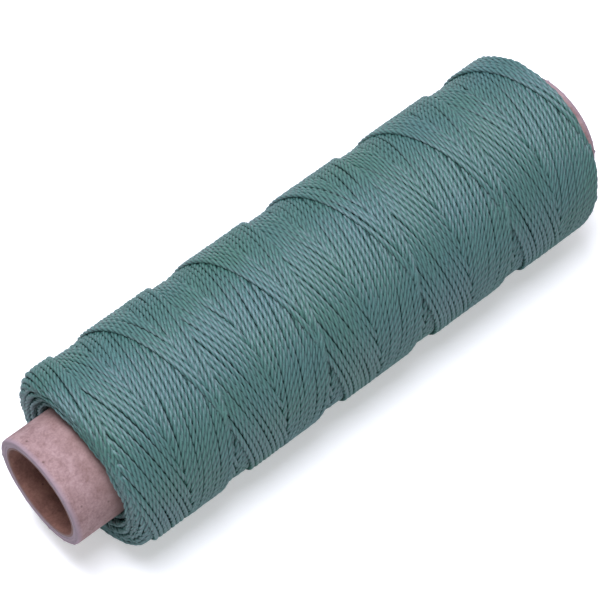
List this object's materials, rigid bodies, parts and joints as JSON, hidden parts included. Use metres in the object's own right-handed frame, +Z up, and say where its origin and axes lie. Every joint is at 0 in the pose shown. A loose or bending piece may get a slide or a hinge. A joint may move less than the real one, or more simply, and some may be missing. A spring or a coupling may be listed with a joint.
{
  "type": "twine bobbin",
  "caption": "Cylindrical bobbin of green cross-wound netting twine on a plain paperboard core with a clear spindle bore.",
  "frame": {"origin": "centre of the spindle bore, halfway along the paperboard core", "axes": "+X along the bore from the near mouth (the end with the longer bare collar) to the far one; +Z up, with the bobbin lying on its side"},
  "size_m": [0.2, 0.0602, 0.0614],
  "materials": {
    "core_lining": "matte",
    "core_board": "matte",
    "core_wrap": "matte",
    "twine": "satin"
  },
  "bodies": {
    "root": {"core_inner_ply": "core_lining", "core_body_ply_1": "core_board", "core_body_ply_2": "core_board", "core_body_ply_3": "core_board", "core_outer_ply": "core_wrap", "twine_layer_1": "twine", "twine_layer_2": "twine", "twine_layer_3": "twine", "twine_layer_4": "twine", "twine_layer_5": "twine"}
  },
  "joints": []
}
